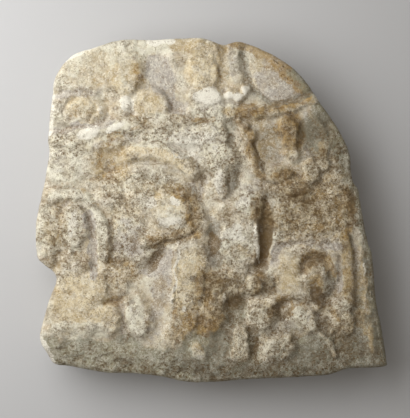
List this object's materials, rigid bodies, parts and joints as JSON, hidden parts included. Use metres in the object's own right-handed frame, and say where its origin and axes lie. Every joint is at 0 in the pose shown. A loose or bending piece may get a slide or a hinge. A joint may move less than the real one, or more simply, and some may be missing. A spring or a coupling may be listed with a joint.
{
  "type": "stone relief panel",
  "caption": "Worn fragment of a carved marble tablet with an irregular broken outline, shallow figures facing up and a flat back.",
  "frame": {"origin": "centre of the block's bounding box in plan, on the plane of the flat back", "axes": "+X to the right of the carving, +Y towards the carving's top, +Z out of the carved face; the fragment lies on its flat back with the carving facing up"},
  "size_m": [0.2038, 0.2008, 0.038],
  "materials": {
    "weathered_marble": "weathered, pitted, stained"
  },
  "bodies": {
    "root": {"relief_panel": "weathered_marble"}
  },
  "joints": []
}
